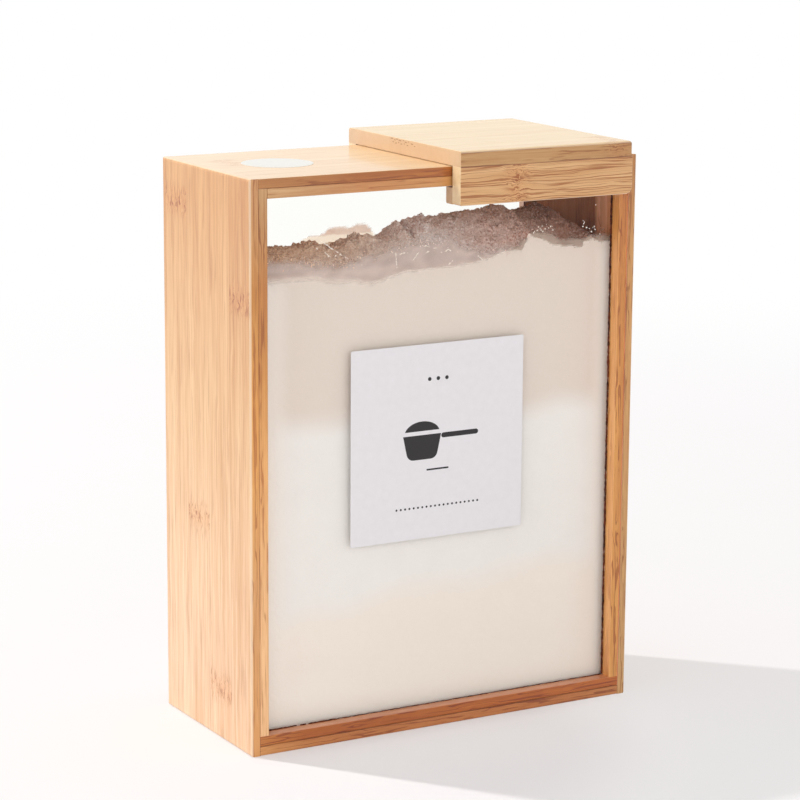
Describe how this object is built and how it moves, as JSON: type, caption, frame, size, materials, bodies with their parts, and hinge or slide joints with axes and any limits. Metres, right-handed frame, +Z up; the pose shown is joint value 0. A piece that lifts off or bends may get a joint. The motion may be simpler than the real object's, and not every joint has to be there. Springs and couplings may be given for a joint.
{
  "type": "powder canister",
  "caption": "Upright shallow bamboo canister with clear windows front and back, a filling mouth in its top and a sliding lid that hooks round the top rails; shown filled with powder.",
  "frame": {"origin": "on the ground, under the middle of the case: the centre of the bounding box's bottom face", "axes": "+Z up, +X along the front to the end where the lid rests, +Y from the front window to the back window"},
  "size_m": [0.231, 0.12, 0.3085],
  "materials": {
    "bamboo_board": "satin",
    "bamboo_strip": "satin",
    "bamboo_lid": "satin",
    "acrylic": "polished",
    "paper": "matte",
    "powder": "matte"
  },
  "bodies": {
    "case": {"left_side_board": "bamboo_board", "right_side_board": "bamboo_board", "bottom_board": "bamboo_board", "top_board": "bamboo_board", "front_window": "acrylic", "back_window": "acrylic", "front_bottom_strip": "bamboo_strip", "front_left_strip": "bamboo_strip", "front_right_strip": "bamboo_strip", "front_top_strip": "bamboo_strip", "back_bottom_strip": "bamboo_strip", "back_left_strip": "bamboo_strip", "back_right_strip": "bamboo_strip", "back_top_strip": "bamboo_strip", "label": "paper", "round_sticker": "paper", "powder_fill": "powder"},
    "lid": {"lid_board": "bamboo_lid", "lid_front_flap": "bamboo_lid", "lid_back_flap": "bamboo_lid", "lid_front_lip": "bamboo_lid", "lid_back_lip": "bamboo_lid"}
  },
  "joints": [
    {"name": "lid_slide", "type": "slide", "parent": "case", "child": "lid", "axis": [-1, 0, 0], "range_m": [0, 0.1057]}
  ]
}
